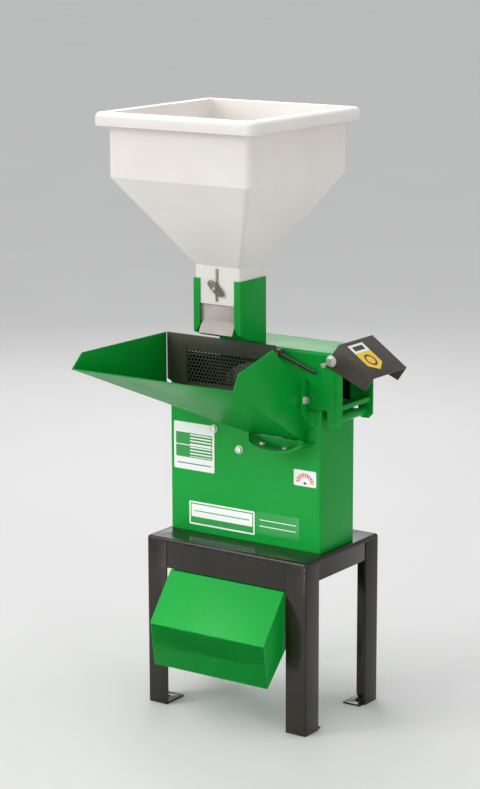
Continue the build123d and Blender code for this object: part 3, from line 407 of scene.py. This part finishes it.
# ---------------------------------------------------------------- plates and labels
# Printed film on the casing's front and on the hood: borders, blocks, rules and a dial.
# The print is plain shapes with no lettering, on stickers with rounded corners.
WHITE, GREEN, INK = (0.80, 0.83, 0.80), (0.006, 0.30, 0.045), (0.02, 0.05, 0.03)
RED, YELLOW, BLACK = (0.72, 0.02, 0.015), (0.85, 0.55, 0.02), (0.02, 0.018, 0.015)


class Film(Paint):
    """Sticker finish with helpers for shapes in shares of its width and height."""

    def __init__(self, name, low, high):
        super().__init__(name, WHITE, 0.35, Coat_Weight=0.3)
        x, y, z = self.axes()
        self.across = (x - low[0]) * (1 / (high[0] - low[0]))
        self.up = (z - low[2]) * (1 / (high[2] - low[2]))
        self.colour = WHITE

    def shape(self, colour, x0, x1, z0, z1, within=1):
        across, up = self.across, self.up
        self.over(colour, (across > x0) * (across < x1) * (up > z0) * (up < z1) * within)

    def over(self, colour, mask):
        self.colour = self.blend(mask, self.colour, colour)

    def wave(self, field, share):
        return self.node("ShaderNodeMath", {"operation": "SINE"}, {0: field}) > share

    def reach(self, across, up, tall_share):
        dx, dz = self.across - across, (self.up - up) * tall_share
        return self.node("ShaderNodeMath", {"operation": "SQRT"}, {0: dx * dx + dz * dz})


def print_name_plate(film):
    film.shape(GREEN, 0.02, 0.98, 0.07, 0.93)
    film.shape(WHITE, 0.035, 0.965, 0.12, 0.88)
    film.shape(GREEN, 0.035, 0.965, 0.12, 0.34)
    film.shape(GREEN, 0.08, 0.92, 0.58, 0.62)


def print_data_plate(film):
    film.shape(GREEN, 0.05, 0.95, 0.26, 0.78)
    film.shape(WHITE, 0.40, 0.93, 0.28, 0.76, film.wave(film.up * 95.0, 0.2))
    film.shape(WHITE, 0.05, 0.95, 0.51, 0.53)
    film.shape(INK, 0.08, 0.92, 0.12, 0.14)


def print_rules(film):
    film.colour = GREEN
    film.shape(WHITE, 0.08, 0.92, 0.62, 0.66)
    film.shape(WHITE, 0.08, 0.92, 0.34, 0.38)


DIAL_ACROSS, DIAL_UP, DIAL_SQUASH = 0.5, 0.18, 0.62


def print_dial(film):
    reach = film.reach(DIAL_ACROSS, DIAL_UP, DIAL_SQUASH)
    ring = (reach > 0.24) * (reach < 0.40) * (film.up > 0.20)
    slope = film.node("ShaderNodeMath", {"operation": "ARCTAN2"},
                      {0: (film.up - DIAL_UP) * DIAL_SQUASH, 1: film.across - DIAL_ACROSS})
    film.over(RED, ring * film.wave(slope * 22.0, -0.35))
    film.over(INK, (reach < 0.06) * (film.up > 0.12))


PRINTS = {"name_plate": print_name_plate, "data_plate": print_data_plate,
          "warning_label": print_rules, "turn_label": print_dial}
for node, draw in PRINTS.items():
    low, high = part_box(node)
    film = Film(node + "_film", low, high)
    draw(film)
    film.feed("Base Color", film.colour)
    film.wear(film.noise(40.0, 3.0), 0.28, 0.42)
    eased(node, film, 0.0002)

# Sticker on the hood's top: a five-sided film laid on the slope, white above and yellow
# below with a black roundel, printed with plain shapes only.
HOOD_SLOPE, FILM_THICK, FILM_LIFT = math.radians(35.4), 0.0004, 0.0001
STICKER_START, STICKER_SHOULDER, STICKER_TIP = 0.010, 0.070, 0.086     # down the slope
STICKER_MIDDLE, STICKER_HALF = -0.023, 0.028                           # across it
hood_top = Vector((0.232, 0.0, 0.820))
down = Vector((math.cos(HOOD_SLOPE), 0, -math.sin(HOOD_SLOPE)))
rise = Vector((math.sin(HOOD_SLOPE), 0, math.cos(HOOD_SLOPE)))
deselect()
bpy.ops.mesh.primitive_circle_add(vertices=5, radius=0.04, fill_type="NGON", location=(0, 0, 0))
sticker = bpy.context.object
sticker.name = "hood_sticker"
left_edge, right_edge = STICKER_MIDDLE - STICKER_HALF, STICKER_MIDDLE + STICKER_HALF
STICKER_CORNERS = ((STICKER_START, right_edge), (STICKER_SHOULDER, right_edge),
                   (STICKER_TIP, STICKER_MIDDLE),
                   (STICKER_SHOULDER, left_edge), (STICKER_START, left_edge))
for vertex, (along, across) in zip(sticker.data.vertices, STICKER_CORNERS):
    vertex.co = hood_top + down * along + Vector((0, across, 0)) + rise * FILM_LIFT
bpy.ops.object.mode_set(mode="EDIT")
bpy.ops.mesh.select_all(action="SELECT")
bpy.ops.mesh.normals_make_consistent(inside=False)
bpy.ops.mesh.extrude_region_move(TRANSFORM_OT_translate={"value": rise * FILM_THICK})
bpy.ops.mesh.select_all(action="SELECT")
bpy.ops.mesh.normals_make_consistent(inside=False)
bpy.ops.object.mode_set(mode="OBJECT")
corner_bevel = sticker.modifiers.new("corners", "BEVEL")
corner_bevel.width, corner_bevel.segments = FILM_LIFT, 2
bpy.ops.object.modifier_apply(modifier="corners")
hood_film = Paint("hood_sticker_film", WHITE, 0.35, Coat_Weight=0.3)
x, y, z = hood_film.axes()
along = (x - hood_top.x) * (1 / math.cos(HOOD_SLOPE))
YELLOW_START, RING_PLACE, RING_IN, RING_OUT = 0.034, 0.058, 0.011, 0.016
BLOCK_START, BLOCK_END, BLOCK_HALF = 0.016, 0.028, 0.019
aside = y - STICKER_MIDDLE
ahead = along - RING_PLACE
reach = hood_film.node("ShaderNodeMath", {"operation": "SQRT"},
                       {0: aside * aside + ahead * ahead})
block = ((along > BLOCK_START) * (along < BLOCK_END)
         * (y > STICKER_MIDDLE - BLOCK_HALF) * (y < STICKER_MIDDLE + BLOCK_HALF))
printed = hood_film.blend(along > YELLOW_START, WHITE, YELLOW)
printed = hood_film.blend(block, printed, BLACK)
printed = hood_film.blend((reach > RING_IN) * (reach < RING_OUT), printed, BLACK)
hood_film.feed("Base Color", printed)
hood_film.wear(hood_film.noise(60.0, 3.0), 0.28, 0.42)
sticker.data.materials.append(hood_film.material)
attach(sticker, "deflector")
